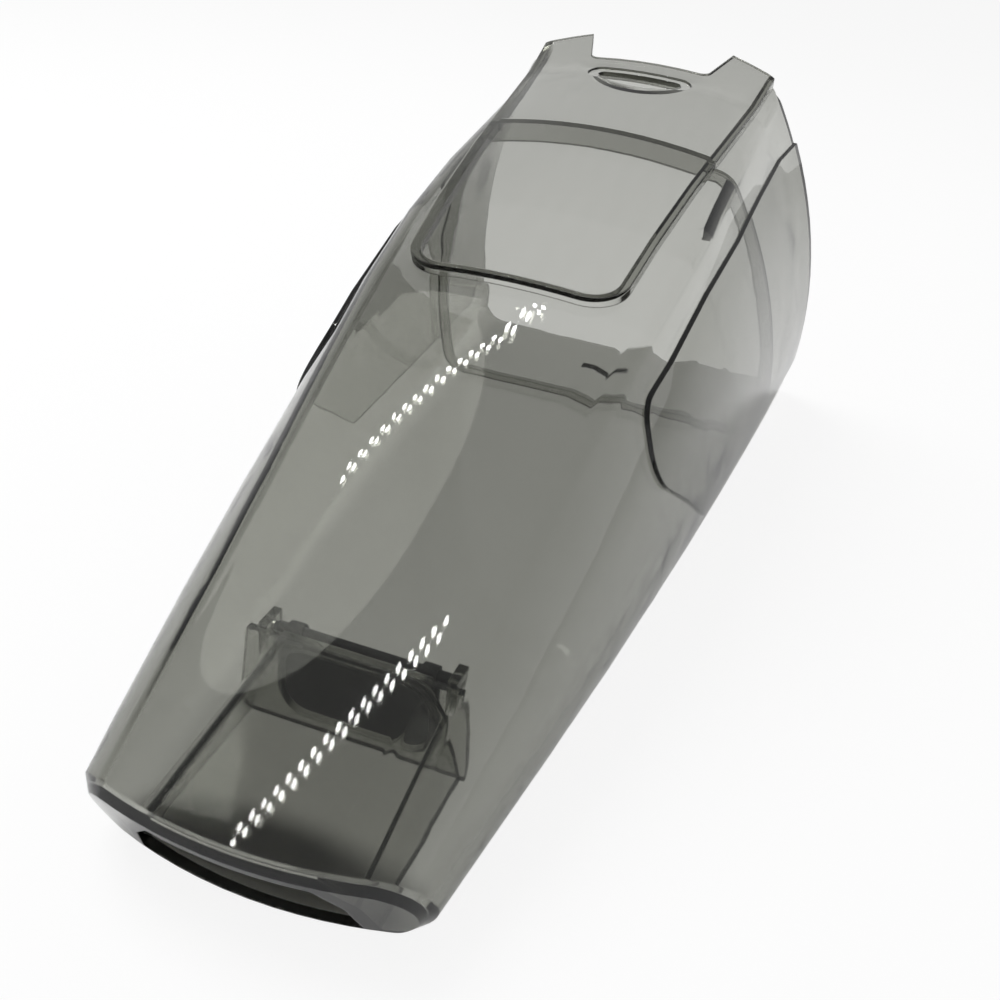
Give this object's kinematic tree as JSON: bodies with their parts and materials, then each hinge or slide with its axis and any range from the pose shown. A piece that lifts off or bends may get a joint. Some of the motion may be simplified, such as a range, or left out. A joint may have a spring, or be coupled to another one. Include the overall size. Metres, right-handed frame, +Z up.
{
  "type": "cyclone dust bin",
  "caption": "Wedge-shaped clear dust bin of a hand-held vacuum: wide mouth with seal ledge and latch tongue, and a nose inlet duct closed by a hinged rubber flap.",
  "frame": {"origin": "middle of the bounding box on the flat back wall that the bin lies on", "axes": "+Z up from the back wall towards the front panel, +Y from the nose to the mouth, +X to the right when seen from the nose"},
  "size_m": [0.1158, 0.2712, 0.1084],
  "materials": {
    "smoke_plastic": "clear smoke-grey injection moulding, polished",
    "black_rubber": "matt black moulded rubber"
  },
  "bodies": {
    "bin": {"bin": "smoke_plastic"},
    "flap": {"flap": "black_rubber"}
  },
  "joints": [
    {"name": "flap_hinge", "type": "hinge", "parent": "bin", "child": "flap", "pos_m": [0, -0.08627, 0.021], "axis": [1, 0, 0], "range_deg": [0, 70]}
  ]
}
